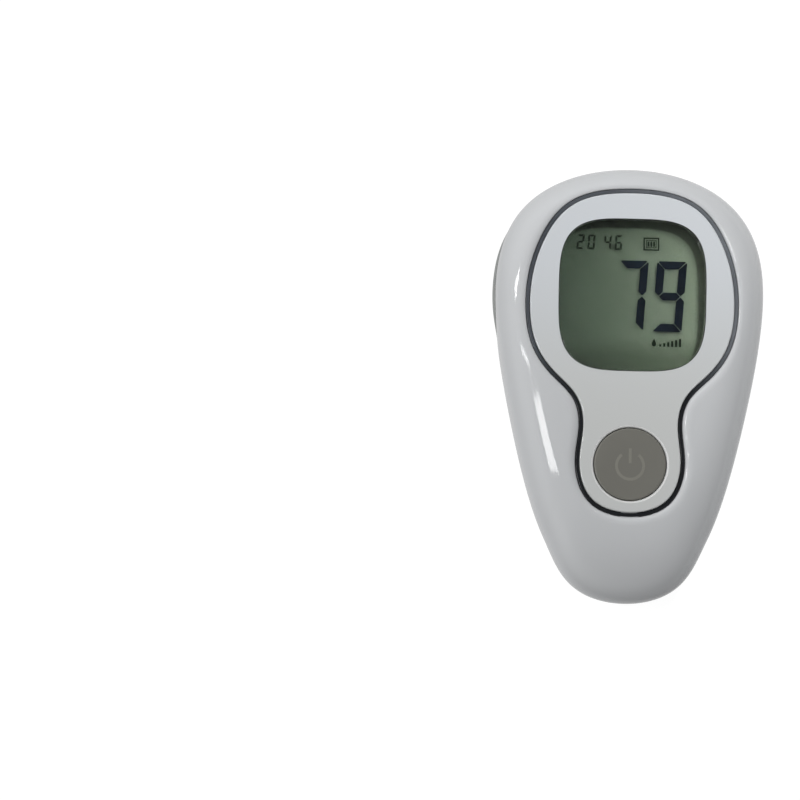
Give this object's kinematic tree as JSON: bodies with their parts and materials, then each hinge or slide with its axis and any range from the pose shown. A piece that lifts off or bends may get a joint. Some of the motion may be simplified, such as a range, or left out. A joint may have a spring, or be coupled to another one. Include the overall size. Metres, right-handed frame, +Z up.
{
  "type": "blood glucose meter",
  "caption": "Egg-shaped handheld blood glucose meter with a keyhole face plate, a square display window, a round push button, a strip port and a hinged coin cell door.",
  "frame": {"origin": "on the table, under the middle of the case, at the bottom of the feet", "axes": "+Z up out of the display, +Y towards the wide end with the strip port, +X to the right of the reader"},
  "size_m": [0.0586, 0.0942, 0.0203],
  "materials": {
    "shell_white": "polished, slightly cool white",
    "shell_grey": "fine satin grey",
    "plate_white": "high gloss white",
    "tape": "thin black foam tape",
    "trim_dark": "satin dark grey",
    "lens_clear": "clear polished acrylic",
    "bezel_black": "satin black",
    "film": "grey-green film",
    "glass": "polished display glass",
    "holder_white": "plain white",
    "rubber_stripe": "striped conductive rubber",
    "button_grey": "warm grey, satin",
    "plastic_black": "plain black",
    "steel": "plain sheet steel",
    "board_green": "green solder mask",
    "chip_black": "moulded black",
    "crystal_can": "bright tinned can",
    "ceramic": "fired ceramic",
    "port_dark": "satin dark grey",
    "connector_ivory": "moulded ivory",
    "contact_gold": "gold-plated spring metal",
    "cell_steel": "bright nickel plate",
    "seal": "moulded seal",
    "pad_foam": "black foam",
    "screw_steel": "blackened steel",
    "foot_rubber": "soft dark grey",
    "label_film": "blank silver-grey film"
  },
  "bodies": {
    "housing": {"front_shell": "shell_white", "rear_shell": "shell_grey", "face_plate": "plate_white", "plate_adhesive": "tape", "trim_ring": "trim_dark", "display_lens": "lens_clear", "display_bezel": "bezel_black", "lcd_polariser": "film", "lcd_front_glass": "glass", "lcd_rear_glass": "glass", "lcd_reflector": "film", "lcd_holder": "holder_white", "zebra_connector": "rubber_stripe", "switch_body": "plastic_black", "switch_frame": "steel", "switch_dome": "steel", "main_board": "board_green", "controller_chip": "chip_black", "memory_chip": "chip_black", "quartz_crystal": "crystal_can", "passive_components": "ceramic", "thermistor": "ceramic", "buzzer": "plastic_black", "strip_port_collar": "port_dark", "strip_connector": "connector_ivory", "strip_contacts": "contact_gold", "cell_can": "cell_steel", "cell_gasket": "seal", "cell_cap": "cell_steel", "cell_positive_contact": "steel", "cell_negative_contact": "steel", "case_screws": "screw_steel", "board_screws": "steel", "rubber_feet": "foot_rubber", "rating_label": "label_film"},
    "button": {"button_cap": "button_grey", "switch_plunger": "plastic_black"},
    "battery_door": {"battery_door": "shell_grey", "door_pad": "pad_foam"}
  },
  "joints": [
    {"name": "button_press", "type": "slide", "parent": "housing", "child": "button", "axis": [0, 0, -1], "range_m": [0, 0.0005], "stiffness_N_per_m": 3000, "springref_m": -0.00005},
    {"name": "door_hinge", "type": "hinge", "parent": "housing", "child": "battery_door", "pos_m": [0, -0.01063, 0.0008], "axis": [-1, 0, 0], "range_deg": [0, 80]}
  ]
}
